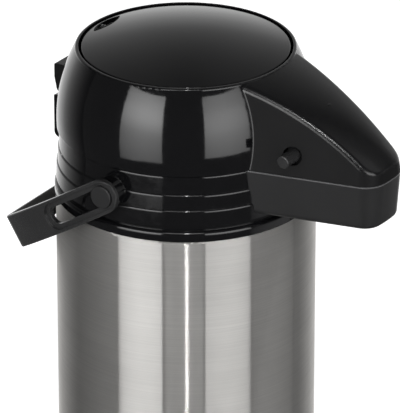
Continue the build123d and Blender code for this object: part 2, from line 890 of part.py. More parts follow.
def make_bellows():
    """The pump's bellows: folds between a bottom and a top flange."""
    crest = bellows_radius
    root = bellows_radius - bellows_fold
    low = plate_top_z + bellows_flange
    high = cup_z - bellows_flange
    pitch = (high - low) / bellows_folds
    outer = [(root + bellows_wall, low)]
    for fold in range(bellows_folds):
        outer.append((crest, low + (fold + 0.5) * pitch))
        outer.append((root + bellows_wall, low + (fold + 1) * pitch))
    inner = [(radius - bellows_wall, height) for radius, height in reversed(outer)]
    foot = [(root, plate_top_z), (crest, plate_top_z), (crest, low)]
    head = [(crest, high), (crest, cup_z), (root, cup_z)]
    return turned([*foot, *outer, *head, *inner])


def make_spring_cup():
    """The plate under the disc that presses the bellows and holds the spring."""
    cup = disc(cup_radius, cup_z, cup_z + cup_thickness)
    cup += washer(cup_radius, bellows_radius + face_clearance, cup_z - cup_rim, cup_z)
    return cup + washer(spring_radius - spring_wire, spring_radius - 2 * spring_wire, cup_z - cup_rim, cup_z)


def half_turn_biarc(start, along, end, onward):
    """Two arcs that join two points with the given directions."""
    chord = end - start
    both = along + onward
    turn = 2 * (1 - along.dot(onward))
    reach = (-chord.dot(both) + sqrt(chord.dot(both) ** 2 + turn * chord.dot(chord))) / turn
    first = start + along * reach
    second = end - onward * reach
    middle = (first + second) * 0.5
    return [
        TangentArc(start, middle, tangent=along),
        TangentArc(middle, end, tangent=(second - first).normalized()),
    ]


def coil(radius, wire, length, turns):
    """A coil spring about Z from a quarter-turn path of arcs, with closed gaps checked by print."""
    pitch = (length - wire) / turns
    climb = pitch / (2 * pi * radius)
    steps = 4 * turns
    slope = sqrt(1 + climb**2)
    points = []
    directions = []
    for step in range(steps + 1):
        angle = step * pi / 2
        height = wire / 2 + pitch * step / 4
        points.append(Vector(radius * cos(angle), radius * sin(angle), height))
        directions.append(Vector(-sin(angle) / slope, cos(angle) / slope, climb / slope))
    edges = []
    for step in range(steps):
        edges += half_turn_biarc(points[step], directions[step], points[step + 1], directions[step + 1])
    print(f"coil of {turns} turns: least gap to itself {pitch * cos(asin(climb / slope)) - wire:.2f} mm")
    place = Plane(origin=points[0], x_dir=(1, 0, 0), z_dir=directions[0])
    return sweep(place * RegularPolygon(wire / 2, 6), path=Wire(edges))


def make_pump_spring():
    """The return spring inside the bellows."""
    return Pos(0, 0, plate_top_z) * coil(spring_radius, spring_wire, bellows_length, spring_turns)


def disc_form(inset):
    """The solid under the disc's crowned top, moved inwards by an inset."""
    edge = disc_edge_z
    centre = edge + disc_crown - disc_sphere
    low = edge - disc_skirt - inset
    ball = disc_sphere - inset
    wide = disc_radius - inset
    rim = centre + sqrt(ball**2 - wide**2)
    half_way = centre + sqrt(ball**2 - (wide / 2) ** 2)
    crown = ThreePointArc((wide, rim), (wide / 2, half_way), (0, centre + ball))
    return turned_from(crown, Polyline((0, centre + ball), (0, low), (wide, low), (wide, rim)))


def lock_lens(inset, low, high):
    """The lens-shaped space of the lock at the disc's rear edge."""
    half = lock_half_length - inset
    wide = lock_half_width - inset
    outline = make_face(
        [
            ThreePointArc((lock_x, -half), (lock_x - wide, 0), (lock_x, half)),
            ThreePointArc((lock_x, half), (lock_x + wide, 0), (lock_x, -half)),
        ]
    )
    return extrude(Pos(0, 0, low) * outline, high - low)


def lock_top(x):
    """The height of the disc's top at a distance from the axis."""
    return disc_edge_z + disc_crown - disc_sphere + sqrt(disc_sphere**2 - x**2)


def make_push_disc():
    """The domed push disc with its skirt, boss and lock pocket."""
    shell = disc_form(0)
    rims = shell.edges().filter_by(lambda edge: edge.length > pi * disc_radius)
    shell = fillet(rims.sort_by(Axis.Z)[-1], disc_edge_round)
    inside = disc_form(disc_wall)
    boss = disc(disc_boss_radius, cup_z + cup_thickness, disc_edge_z + disc_crown - disc_wall / 2)
    floor_z = lock_top(lock_x) - lock_depth
    pocket = lock_lens(0, floor_z - lock_floor, floor_z) & disc_form(0)
    wall = lock_lens(-disc_wall / 2, floor_z - lock_floor, disc_edge_z + disc_crown) & disc_form(0)
    shell = shell - inside + boss + wall - lock_lens(0, floor_z, disc_edge_z + disc_crown) + pocket
    slot_half = lock_travel / 2 + lock_slot_width / 2
    middle = lock_rest_y + lock_travel / 2
    slot = Pos(lock_x, middle, floor_z) * Box(lock_slot_width, 2 * slot_half, 4 * lock_floor)
    return shell - slot


def make_lock_slider():
    """The small slider in the lens, with a raised vee and a cleat under the floor."""
    floor_z = lock_top(lock_x) - lock_depth
    low = floor_z + seat_clearance
    half = lock_slider_width / 2
    pad = Pos(lock_x, lock_rest_y, low + lock_slider_height / 2) * Box(
        lock_slider_width, lock_slider_length, lock_slider_height
    )
    vee = make_face(
        Polyline(
            (-half, low + lock_slider_height),
            (half, low + lock_slider_height),
            (0, low + lock_slider_height + half),
            close=True,
        )
    )
    ridge = Pos(lock_x, lock_rest_y, 0) * extrude(Plane.XZ * vee, lock_slider_length / 4, both=True)
    stem_low = floor_z - lock_floor - seat_clearance
    stem = Pos(lock_x, lock_rest_y, (stem_low + low) / 2) * Box(
        lock_slot_width - 2 * running_clearance, lock_slot_width - 2 * running_clearance, low - stem_low
    )
    cleat = Pos(lock_x, lock_rest_y, stem_low - lock_cleat_height / 2) * Box(
        lock_slider_width, lock_slider_width, lock_cleat_height
    )
    return pad + ridge + stem + cleat


def button_outer_y():
    """How far out the button's face stands: proud of the leaning side of the beak."""
    lean = button_height * sin(radians(beak_side_draft))
    return beak_half_width(button_x) - lean + button_proud


def make_release_button(side):
    """One release button: a round peg with a stop flange at its inner end."""
    z = seam_z + button_height
    face = button_outer_y()
    peg = rod_along_y(button_radius, button_inner_y, face, button_x, z)
    outer_rim = peg.edges().filter_by(GeomType.CIRCLE).sort_by(Axis.Y)[-1]
    peg = fillet(outer_rim, button_edge_round)
    peg += rod_along_y(
        button_flange_radius, button_inner_y, button_inner_y + button_flange_height, button_x, z
    )
    return peg if side > 0 else mirror(peg, Plane.XZ)


def make_release_spring(side):
    """One release button's spring, between the lid's rib and the button."""
    z = seam_z + button_height
    length = button_inner_y - rib_half_thickness
    spring = coil(button_spring_radius, button_spring_wire, length, button_spring_turns)
    spring = Pos(button_x, rib_half_thickness, z) * Rot(-90, 0, 0) * spring
    return spring if side > 0 else mirror(spring, Plane.XZ)


def handle_outline(inset):
    """The handle's loop in its own plane, x rearwards from the pivot, moved inwards by an inset."""
    arm_run = arm_reach - arm_straight
    arm_turn = arm_outer_y - corner_y
    arm_bend = (arm_run**2 + arm_turn**2) / (2 * arm_turn)
    grip_bend = (corner_y**2 + grip_bow**2) / (2 * grip_bow)
    curved = Pos(arm_straight, arm_bend - arm_outer_y) * Circle(arm_bend - inset)
    curved &= Pos(arm_straight, arm_outer_y - arm_bend) * Circle(arm_bend - inset)
    curved &= Pos(arm_reach + grip_bow - grip_bend, 0) * Circle(grip_bend - inset)
    curved &= Pos(arm_straight + arm_reach, 0) * Rectangle(2 * arm_reach, 2 * arm_outer_y)
    straight_length = band_width + arm_straight
    straight_middle = (arm_straight - band_width) / 2
    outline = curved + Pos(straight_middle, 0) * Rectangle(straight_length, 2 * (arm_outer_y - inset))
    return fillet(outline.vertices().sort_by(Axis.X)[-2:], corner_round - inset)


def obround(front, back, half_width, depth):
    """A long round-ended bar across the handle, from front to back of the pivot."""
    length = back + front - 2 * half_width
    middle = (back - front) / 2
    shape = SlotCenterToCenter(length, 2 * half_width)
    return Pos(middle, 0, 0) * Rot(90, 0, 0) * extrude(shape, depth, both=True)


def make_handle():
    """The swing handle: two slotted arms and a bowed grip, drooped to its rest on the body's back."""
    half = band_width / 2
    loop = handle_outline(0) - handle_outline(arm_thickness)
    band = extrude(loop, half, both=True)
    arm_end = half
    trim = Rot(90, 0, 0) * extrude(
        Circle(arm_end) + Pos(arm_reach, 0) * Rectangle(2 * arm_reach, band_width), 2 * arm_outer_y, both=True
    )
    band &= trim
    rims = band.edges().filter_by(lambda edge: edge.length > corner_y and edge.center().Z > half - 0.1)
    band = chamfer(rims.sort_by(Axis.X)[-2:], handle_edge_chamfer)
    skin = extrude(handle_outline(0) - handle_outline(pocket_depth), half, both=True)
    pocket_back_end = pocket_back + pocket_half_width - pocket_front
    pocket = obround(pocket_half_width + pocket_front, pocket_back_end, pocket_half_width, 2 * arm_outer_y)
    band -= skin & pocket
    band -= obround(slot_half_width, slot_back + slot_half_width, slot_half_width, 2 * arm_outer_y)
    relief = make_face(
        [
            ThreePointArc(
                (-grip_relief_half_length, -half), (0, grip_relief - half), (grip_relief_half_length, -half)
            ),
            Line((grip_relief_half_length, -half), (-grip_relief_half_length, -half)),
        ]
    )
    band -= extrude(Plane.YZ.offset(arm_reach - 3 * arm_thickness) * relief, 2 * arm_reach)
    return Pos(pivot_x, 0, pivot_z) * Rot(0, -handle_droop, 0) * Rot(0, 0, 180) * band


def make_pivot_caps():
    """The two round caps that hold the handle's arms on the collar's bosses."""
    face = arm_outer_y - arm_thickness - face_clearance
    under = arm_outer_y - pocket_depth + face_clearance
    cap = rod_along_y(cap_radius, under, under + cap_thickness, pivot_x, pivot_z)
    outer_rim = cap.edges().filter_by(GeomType.CIRCLE).sort_by(Axis.Y)[-1]
    cap = fillet(outer_rim, cap_round)
    cap += rod_along_y(cap_stem_radius, face, under, pivot_x, pivot_z)
    cap += rod_along_y(cap_spigot_radius, face - cap_spigot_length, face, pivot_x, pivot_z)
    return Compound([cap, mirror(cap, Plane.XZ)])


def make_pieces():
    """Every piece of the airpot by its name."""
    retainer, swivel_screw = swivel_stack()
    flask_outer, flask_inner = make_flask()

    return {
        "steel_casing": make_steel_casing(),
        "base_ring": make_base_ring(),
        "swivel_foot": make_swivel_foot(),
        "foot_mat": make_foot_mat(),
        "swivel_retainer": retainer,
        "swivel_screw": swivel_screw,
        "flask_cushion": make_flask_cushion(),
        "flask_outer": flask_outer,
        "flask_inner": flask_inner,
        "neck_gasket": make_neck_gasket(),
        "collar": make_collar(),
        "lower_beak": make_lower_beak(),
        "stem_plug": make_stem_plug(),
        "valve_ball": make_valve_ball(),
        "dip_tube": make_dip_tube(),
        "discharge_tube": make_discharge_tube(),
        "nozzle": make_nozzle(),
        "lid_shell": make_lid_shell(),
        "hinge_pin": make_hinge_pin(),
        "lid_plate": make_lid_plate(),
        "lid_screws": make_lid_screws(),
        "lid_gasket": make_lid_gasket(),
        "air_valve": make_air_valve(),
        "bellows": make_bellows(),
        "pump_spring": make_pump_spring(),
        "spring_cup": make_spring_cup(),
        "push_disc": make_push_disc(),
        "lock_slider": make_lock_slider(),
        "release_button_left": make_release_button(1),
        "release_button_right": make_release_button(-1),
        "release_spring_left": make_release_spring(1),
        "release_spring_right": make_release_spring(-1),
        "handle": make_handle(),
        "pivot_caps": make_pivot_caps(),
    }


if __name__ == "__main__":
    for name, piece in make_pieces().items():
        export_step(piece, f"parts/{name}.step")
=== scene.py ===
"""Looks for a push-disc airpot: finishes, fine detail, studio and camera over the fixed CAD frame."""

from __future__ import annotations

import json
import logging
import math
from dataclasses import dataclass, field
from enum import Enum

import bpy
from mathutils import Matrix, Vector

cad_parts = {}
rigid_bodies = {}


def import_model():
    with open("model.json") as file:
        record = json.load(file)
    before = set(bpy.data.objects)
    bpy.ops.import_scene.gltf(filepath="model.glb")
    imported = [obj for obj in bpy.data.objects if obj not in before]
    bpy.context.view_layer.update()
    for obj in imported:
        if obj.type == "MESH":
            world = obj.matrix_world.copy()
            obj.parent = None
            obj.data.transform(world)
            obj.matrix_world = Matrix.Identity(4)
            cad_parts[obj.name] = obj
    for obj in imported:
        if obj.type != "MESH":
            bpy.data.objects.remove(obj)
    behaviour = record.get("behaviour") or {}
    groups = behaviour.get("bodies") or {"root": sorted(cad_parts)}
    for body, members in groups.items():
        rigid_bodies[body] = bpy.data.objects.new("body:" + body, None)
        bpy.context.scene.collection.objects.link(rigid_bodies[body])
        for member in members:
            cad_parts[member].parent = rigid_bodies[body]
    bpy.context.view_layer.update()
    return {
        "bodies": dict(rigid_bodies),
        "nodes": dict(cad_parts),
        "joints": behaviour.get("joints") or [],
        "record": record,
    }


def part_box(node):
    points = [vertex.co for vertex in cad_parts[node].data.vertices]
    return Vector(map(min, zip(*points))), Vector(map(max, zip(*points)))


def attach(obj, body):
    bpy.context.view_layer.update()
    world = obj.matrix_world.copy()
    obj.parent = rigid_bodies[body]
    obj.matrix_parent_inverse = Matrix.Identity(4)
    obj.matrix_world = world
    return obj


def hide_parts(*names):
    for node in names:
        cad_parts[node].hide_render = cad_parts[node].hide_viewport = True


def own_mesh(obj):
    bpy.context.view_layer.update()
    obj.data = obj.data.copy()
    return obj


LOG = logging.getLogger("airpot")

Colour = tuple[float, float, float]
Point = tuple[float, float, float]
Curve = tuple[tuple[float, float], ...]
Socket = bpy.types.NodeSocket
Inputs = dict[int | str, object]
Material = bpy.types.Material

MILLIMETRE = 0.001


class Grain(Enum):
    """How a surface is broken up at small scale."""

    GLOSS = "gloss"
    SATIN = "satin"
    TURNED = "turned"
    DRAWN = "drawn"
    SOFT = "soft"
    SILVERED = "silvered"


@dataclass(frozen=True)
class Finish:
    """A surface finish, before its shader nodes are made.

    Args:
        name: the material's name
        colour: linear base colour
        roughness: the surface's mean roughness
        grain: how the surface is broken up
        metallic: 1 for bare metal, 0 for the rest
        relief: height of the grain, in metres
        spread: how far roughness varies to each side
        edge: radius of the softened edges, in metres
        specular: strength of the mirror part, 0.5 for plain plastic
    """

    name: str
    colour: Colour
    roughness: float
    grain: Grain
    metallic: float = 0.0
    relief: float = 0.00002
    spread: float = 0.05
    edge: float = 0.0003
    specular: float = 0.5


GLOSS_BLACK = Finish(
    "gloss_black", (0.0035, 0.0035, 0.004), 0.07, Grain.GLOSS, relief=0.000004, spread=0.03, edge=0.0006
)
SATIN_BLACK = Finish("satin_black", (0.012, 0.012, 0.0125), 0.44, Grain.SATIN, edge=0.0008, specular=0.38)
SMOOTH_BLACK = Finish(
    "smooth_black", (0.024, 0.024, 0.0245), 0.24, Grain.SATIN, relief=0.000004, edge=0.0008
)
SLEEK_BLACK = Finish(
    "sleek_black", (0.004, 0.004, 0.0045), 0.21, Grain.GLOSS, relief=0.000004, edge=0.0012
)
DULL_BLACK = Finish(
    "dull_black", (0.007, 0.007, 0.0073), 0.5, Grain.SATIN, relief=0.00002, specular=0.09
)
# Painted highlight: a lighter, glossier black than the others, which stands in for the highlight on the
# lower beak's top edge and on the lock's thumb rib.
PAINTED_SHEEN_BLACK = Finish("painted_sheen_black", (0.085, 0.085, 0.087), 0.22, Grain.SATIN, relief=0.00001, edge=0.0005)
INNER_BLACK = Finish("inner_black", (0.02, 0.02, 0.021), 0.5, Grain.SATIN, relief=0.00002)
TURNED_STEEL = Finish(
    "turned_steel", (0.79, 0.775, 0.75), 0.38, Grain.TURNED, metallic=1.0, relief=0.0, spread=0.03, edge=0.0
)
BRIGHT_STEEL = Finish("bright_steel", (0.58, 0.57, 0.55), 0.22, Grain.DRAWN, metallic=1.0, relief=0.000006)
FOOT_RUBBER = Finish("foot_rubber", (0.018, 0.018, 0.018), 0.75, Grain.SOFT, relief=0.00005)
PALE_SILICONE = Finish("pale_silicone", (0.55, 0.54, 0.5), 0.45, Grain.SOFT, relief=0.00001)
RED_SILICONE = Finish("red_silicone", (0.36, 0.05, 0.03), 0.5, Grain.SOFT, relief=0.00001)
NATURAL_PLASTIC = Finish("natural_plastic", (0.52, 0.52, 0.49), 0.38, Grain.SATIN, relief=0.00001)
BELLOWS_RUBBER = Finish("bellows_rubber", (0.16, 0.16, 0.155), 0.55, Grain.SOFT, relief=0.00002)
SILVERED_GLASS = Finish(
    "silvered_glass", (0.86, 0.87, 0.88), 0.03, Grain.SILVERED, metallic=1.0, relief=0.0
)


class Sheet:
    """One material's node tree, with short calls to fill it."""

    pattern_low: float = 0.25
    pattern_high: float = 0.75
    bevel_samples: int = 4

    def __init__(self, name: str) -> None:
        """Starts an empty node tree.

        Args:
            name: the material's name
        """
        self.material = bpy.data.materials.new(name)
        self.material.use_nodes = True
        self.tree = self.material.node_tree
        self.tree.nodes.clear()

    def add(self, kind: str, inputs: Inputs | None = None, **settings: object) -> bpy.types.Node:
        """Adds a node.

        Args:
            kind: the node's type name
            inputs: socket name or number to a constant or to an output socket
            settings: plain settings of the node

        Returns:
            the new node
        """
        node = self.tree.nodes.new(kind)
        for key, value in settings.items():
            setattr(node, key, value)
        for key, value in (inputs or {}).items():
            if isinstance(value, bpy.types.NodeSocket):
                self.tree.links.new(value, node.inputs[key])
            else:
                node.inputs[key].default_value = value
        return node

    def maths(self, operation: str, first: Socket | float, second: Socket | float = 0.0) -> Socket:
        """Adds one sum of numbers or sockets, and gives the answer's socket."""
        return self.add("ShaderNodeMath", {0: first, 1: second}, operation=operation).outputs[0]

    def stretched(self, scale: Point) -> Socket:
        """The piece's own coordinates, with so many pattern units to a metre along each axis."""
        place = self.add("ShaderNodeTexCoord").outputs["Object"]
        return self.add("ShaderNodeMapping", {"Vector": place, "Scale": scale}).outputs["Vector"]

    def noise(self, vector: Socket, detail: float = 4.0, roughness: float = 0.6) -> Socket:
        """Adds a noise pattern, whose detail is how many finer layers it has."""
        inputs = {"Vector": vector, "Scale": 1.0, "Detail": detail, "Roughness": roughness}
        return self.add("ShaderNodeTexNoise", inputs).outputs[0]

    def varied(self, pattern: Socket, middle: float, spread: float) -> Socket:
        """Turns a 0 to 1 pattern into a value that strays about its middle by the spread."""
        limits = {1: self.pattern_low, 2: self.pattern_high, 3: middle - spread, 4: middle + spread}
        return self.add("ShaderNodeMapRange", {"Value": pattern, **limits}).outputs[0]

    def relief(self, height: Socket, depth: float, edge: float) -> Socket:
        """Adds a bump on softened edges.

        Args:
            height: a 0 to 1 pattern's socket
            depth: the pattern's full height, in metres
            edge: radius of the softened edges, in metres

        Returns:
            the normal's socket
        """
        bevel = self.add("ShaderNodeBevel", {"Radius": edge}, samples=self.bevel_samples).outputs[0]
        inputs = {"Height": height, "Distance": depth, "Strength": 1.0, "Normal": bevel}
        return self.add("ShaderNodeBump", inputs).outputs[0]

    def vector(self, operation: str, inputs: Inputs) -> bpy.types.Node:
        """Adds one vector sum."""
        return self.add("ShaderNodeVectorMath", inputs, operation=operation)

    def mixed(self, share: Socket | float, first: Socket, second: Socket) -> Socket:
        """Mixes two shaders, by the share of the second one."""
        return self.add("ShaderNodeMixShader", {0: share, 1: first, 2: second}).outputs[0]

    def close(self, surface: Socket) -> Material:
        """Joins the surface to the output, and gives the finished material."""
        self.add("ShaderNodeOutputMaterial", {"Surface": surface})
        return self.material


@dataclass
class FinishShop:
    """Makes each finish's material once.

    Args:
        made: the materials so far, by name
        haze: share of the turned steel's mirror part that is spread wide
        haze_roughness: roughness of that share
        brushing: how far the tight share is smeared up and down
        wall_lean: how squarely a face looks outwards where it counts as the round wall
        blotch: how many broad patches fit in a metre
        metal_shading: how far a metal's colour strays
        plastic_shading: how far any other colour strays
        ring_shading: how far the turned rings' colour strays
        side_tilt: how far a beak's side may look up, and where it counts as the roof
    """

    made: dict[str, Material] = field(default_factory=dict)
    haze: float = 0.34
    haze_roughness: float = 0.65
    brushing: float = 0.95
    wall_lean: float = 0.9
    blotch: float = 30.0
    metal_shading: float = 0.05
    plastic_shading: float = 0.15
    ring_shading: float = 0.08
    side_tilt: tuple[float, float] = (0.2, 0.34)

    def pattern(self, sheet: Sheet, grain: Grain) -> Socket:
        """The height pattern of a grain.

        Args:
            sheet: the node tree to fill
            grain: which grain

        Returns:
            the pattern's socket
        """
        scales: dict[Grain, Point] = {
            Grain.GLOSS: (260.0, 260.0, 260.0),
            Grain.SATIN: (2600.0, 2600.0, 2600.0),
            Grain.TURNED: (9.0, 9.0, 2600.0),
            Grain.DRAWN: (1500.0, 60.0, 1500.0),
            Grain.SOFT: (1400.0, 1400.0, 1400.0),
            Grain.SILVERED: (60.0, 60.0, 60.0),
        }
        return sheet.noise(sheet.stretched(scales[grain]))

    def principled(self, sheet: Sheet, finish: Finish) -> Socket:
        """The main shader of a finish.

        Args:
            sheet: the node tree to fill
            finish: the finish

        Returns:
            the shader's socket
        """
        fine = self.pattern(sheet, finish.grain)
        broad = sheet.noise(sheet.stretched((self.blotch, self.blotch, self.blotch)), detail=2.0)
        shade = sheet.varied(broad, 1.0, self.metal_shading if finish.metallic else self.plastic_shading)
        if finish.grain is Grain.TURNED:
            shade = sheet.maths("MULTIPLY", shade, sheet.varied(fine, 1.0, self.ring_shading))
        tint = sheet.vector("SCALE", {0: finish.colour, "Scale": shade}).outputs["Vector"]
        roughness = sheet.varied(fine, finish.roughness, finish.spread)
        if finish.grain is Grain.TURNED:
            return self.turned(sheet, tint, roughness, self.round_normal(sheet))
        inputs = {
            "Base Color": tint,
            "Metallic": finish.metallic,
            "Roughness": roughness,
            "Normal": sheet.relief(fine, finish.relief, finish.edge),
            "Specular IOR Level": finish.specular,
        }
        return sheet.add("ShaderNodeBsdfPrincipled", inputs).outputs[0]

    def round_normal(self, sheet: Sheet) -> Socket:
        """The true normal of a wall that is round about the body axis.

        Args:
            sheet: the node tree to fill

        Returns:
            the normal's socket, which is the mesh's own one off the wall
        """
        place = sheet.add("ShaderNodeTexCoord")
        flat = sheet.vector("MULTIPLY", {0: place.outputs["Object"], 1: (1.0, 1.0, 0.0)})
        out = sheet.vector("NORMALIZE", {0: flat.outputs[0]}).outputs[0]
        facing = sheet.vector("DOT_PRODUCT", {0: out, 1: place.outputs["Normal"]}).outputs["Value"]
        sided = sheet.vector("SCALE", {0: out, "Scale": sheet.maths("SIGN", facing)}).outputs[0]
        turning = {"vector_type": "NORMAL", "convert_from": "OBJECT", "convert_to": "WORLD"}
        world = sheet.add("ShaderNodeVectorTransform", {0: sided}, **turning).outputs[0]
        wall = sheet.maths("GREATER_THAN", sheet.maths("ABSOLUTE", facing), self.wall_lean)
        own = sheet.add("ShaderNodeNewGeometry").outputs["Normal"]
        return sheet.add("ShaderNodeMix", {0: wall, 4: own, 5: world}, data_type="VECTOR").outputs[1]

    def turned(self, sheet: Sheet, tint: Socket, roughness: Socket, normal: Socket) -> Socket:
        """A metal brushed round the body axis, which smears what it mirrors up and down.

        Args:
            sheet: the node tree to fill
            tint: the metal's colour socket
            roughness: the roughness socket
            normal: the normal's socket

        Returns:
            the shader's socket
        """
        tangent = sheet.add("ShaderNodeTangent", direction_type="RADIAL", axis="Z").outputs[0]
        inputs = {"Color": tint, "Normal": normal, "Tangent": tangent}
        brushed = {**inputs, "Roughness": roughness, "Anisotropy": self.brushing}
        hazed = {**inputs, "Roughness": self.haze_roughness}
        tight = sheet.add("ShaderNodeBsdfAnisotropic", brushed, distribution="GGX").outputs[0]
        wide = sheet.add("ShaderNodeBsdfAnisotropic", hazed, distribution="GGX").outputs[0]
        return sheet.mixed(self.haze, tight, wide)

    def material(self, finish: Finish) -> Material:
        """The material of a finish.

        Args:
            finish: the finish

        Returns:
            the material, made at the first call
        """
        if finish.name not in self.made:
            sheet = Sheet(finish.name)
            self.made[finish.name] = sheet.close(self.principled(sheet, finish))
            LOG.info("finish %s", finish.name)
        return self.made[finish.name]

    def edged(self, base: Finish, edge: Finish, level: float) -> Material:
        """One material whose surface above a level has another finish.

        Args:
            base: the finish below the level
            edge: the finish above it
            level: the level, in metres

        Returns:
            the material
        """
        sheet = Sheet(f"{base.name}_under_{edge.name}")
        place = sheet.add("ShaderNodeTexCoord").outputs["Object"]
        height = sheet.add("ShaderNodeSeparateXYZ", {0: place}).outputs["Z"]
        mask = sheet.maths("GREATER_THAN", height, level)
        lower = self.principled(sheet, base)
        upper = self.principled(sheet, edge)
        LOG.info("finish %s", sheet.material.name)
        return sheet.close(sheet.mixed(mask, lower, upper))

    def satin_sides(
        self, near: Finish, roof: Finish, far: Finish, arc: float, middle: tuple[float, float]
    ) -> Material:
        """One material that is glossy on the dome, sleek on the beak's roof and dull on the beak's sides.

        Args:
            near: the finish of the dome
            roof: the finish outside the dome where the surface looks up
            far: the finish of upright faces outside the dome
            arc: radius of the dome's outline, in metres
            middle: the outline's centre, as distance from the body axis and height

        Returns:
            the material
        """
        sheet = Sheet(f"{near.name}_to_{far.name}")
        place = sheet.add("ShaderNodeTexCoord")
        flat = sheet.vector("MULTIPLY", {0: place.outputs["Object"], 1: (1.0, 1.0, 0.0)})
        length = sheet.vector("LENGTH", {0: flat.outputs[0]}).outputs["Value"]
        height = sheet.add("ShaderNodeSeparateXYZ", {0: place.outputs["Object"]}).outputs["Z"]
        out = sheet.maths("SUBTRACT", length, middle[0])
        rise = sheet.maths("ABSOLUTE", sheet.maths("SUBTRACT", height, middle[1]))
        away = sheet.maths("ADD", sheet.maths("POWER", out, 2.0), sheet.maths("POWER", rise, 2.0))
        outside = sheet.maths("GREATER_THAN", away, arc**2)
        up = sheet.add("ShaderNodeSeparateXYZ", {0: place.outputs["Normal"]}).outputs["Z"]
        limits = {1: self.side_tilt[0], 2: self.side_tilt[1], 3: 1.0, 4: 0.0}
        upright = sheet.add("ShaderNodeMapRange", {"Value": up, **limits}).outputs[0]
        dome, top, side = (self.principled(sheet, finish) for finish in (near, roof, far))
        beak = sheet.mixed(upright, top, side)
        LOG.info("finish %s", sheet.material.name)
        return sheet.close(sheet.mixed(outside, dome, beak))


@dataclass
class SubAssembly:
    """A group of CAD nodes that take their finishes together.

    Args:
        shop: where finishes are made
    """

    frame: dict
    shop: FinishShop

    def finishes(self) -> dict[str, Finish]:
        """Gives each node its finish, and here there is none."""
        return {}

    def paint(self, node: str, material: Material) -> None:
        """Gives a CAD node one material.

        Args:
            node: the node's name
            material: its material
        """
        mesh = self.frame["nodes"][node].data
        mesh.materials.clear()
        mesh.materials.append(material)
        LOG.info("painted %s with %s", node, material.name)

    def piece(
        self, name: str, mesh: bpy.types.Mesh, finish: Finish, body: str, slot: str
    ) -> bpy.types.Object:
        """Adds one piece to the scene.

        Args:
            name: the piece's name
            mesh: its mesh
            finish: its finish
            body: the body that it rides on
            slot: not used

        Returns:
            the piece's object
        """
        mesh.materials.append(self.shop.material(finish))
        thing = bpy.data.objects.new(name, mesh)
        bpy.context.scene.collection.objects.link(thing)
        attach(thing, body)
        LOG.info("built %s", name)
        return thing

    def dress(self) -> None:
        """Paints every node of the group and adds its fine detail."""
        for node, finish in self.finishes().items():
            self.paint(node, self.shop.material(finish))


@dataclass
class Body(SubAssembly):
    """The steel casing, the base and the swivel foot."""

    def finishes(self) -> dict[str, Finish]:
        """Gives each node its finish.

        Returns:
            node name to finish
        """
        return {
            "steel_casing": TURNED_STEEL,
            "base_ring": GLOSS_BLACK,
            "swivel_foot": SATIN_BLACK,
            "foot_mat": FOOT_RUBBER,
            "swivel_retainer": BRIGHT_STEEL,
            "swivel_screw": BRIGHT_STEEL,
        }


@dataclass
class Flask(SubAssembly):
    """The glass flask with its cushion, gasket, plug and tubes."""

    def finishes(self) -> dict[str, Finish]:
        """Gives each node its finish.

        Returns:
            node name to finish
        """
        return {
            "flask_outer": SILVERED_GLASS,
            "flask_inner": SILVERED_GLASS,
            "flask_cushion": FOOT_RUBBER,
            "neck_gasket": PALE_SILICONE,
            "stem_plug": NATURAL_PLASTIC,
            "valve_ball": BRIGHT_STEEL,
            "dip_tube": NATURAL_PLASTIC,
            "discharge_tube": PALE_SILICONE,
        }


@dataclass
class Collar(SubAssembly):
    """The ribbed collar with the lower beak, its nozzle, the handle and its pivots.

    Args:
        painted_sheen_width: depth of the lighter band round the lower beak's top, a painted highlight along
            the seam, in metres
    """

    painted_sheen_width: float = 0.0009

    def finishes(self) -> dict[str, Finish]:
        """Gives each node its finish.

        Returns:
            node name to finish
        """
        return {
            "collar": GLOSS_BLACK,
            "nozzle": GLOSS_BLACK,
            "pivot_caps": SATIN_BLACK,
            "handle": SMOOTH_BLACK,
        }

    def dress(self) -> None:
        """Paints the group, with a lighter band painted as a highlight round the top of the lower beak."""
        super().dress()
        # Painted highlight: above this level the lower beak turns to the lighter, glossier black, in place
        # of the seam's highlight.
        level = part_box("lower_beak")[1].z - self.painted_sheen_width
        self.paint("lower_beak", self.shop.edged(SATIN_BLACK, PAINTED_SHEEN_BLACK, level))


@dataclass
class Lid(SubAssembly):
    """The hinged lid with its push disc, lock slider and release buttons.

    Args:
        dome_arc: radius of the dome's outline, in metres
        dome_middle: the outline's centre, as distance from the body axis and height
        dome_margin: how far outside the outline the beak begins
    """

    dome_arc: float = 0.0977
    dome_middle: tuple[float, float] = (-0.0187, 0.3133)
    dome_margin: float = 0.0005

    def finishes(self) -> dict[str, Finish]:
        """Gives each node its finish.

        Returns:
            node name to finish
        """
        return {
            "hinge_pin": BRIGHT_STEEL,
            "lid_plate": INNER_BLACK,
            "lid_screws": BRIGHT_STEEL,
            "lid_gasket": PALE_SILICONE,
            "air_valve": RED_SILICONE,
            "spring_cup": INNER_BLACK,
            "push_disc": GLOSS_BLACK,
            "lock_slider": SATIN_BLACK,
            "release_button_left": SMOOTH_BLACK,
            "release_button_right": SMOOTH_BLACK,
        }

    def dress(self) -> None:
        """Paints the group, with satin sides on the beak and the hinge block."""
        super().dress()
        arc = self.dome_arc + self.dome_margin
        shell = self.shop.satin_sides(GLOSS_BLACK, SLEEK_BLACK, DULL_BLACK, arc, self.dome_middle)
        self.paint("lid_shell", shell)


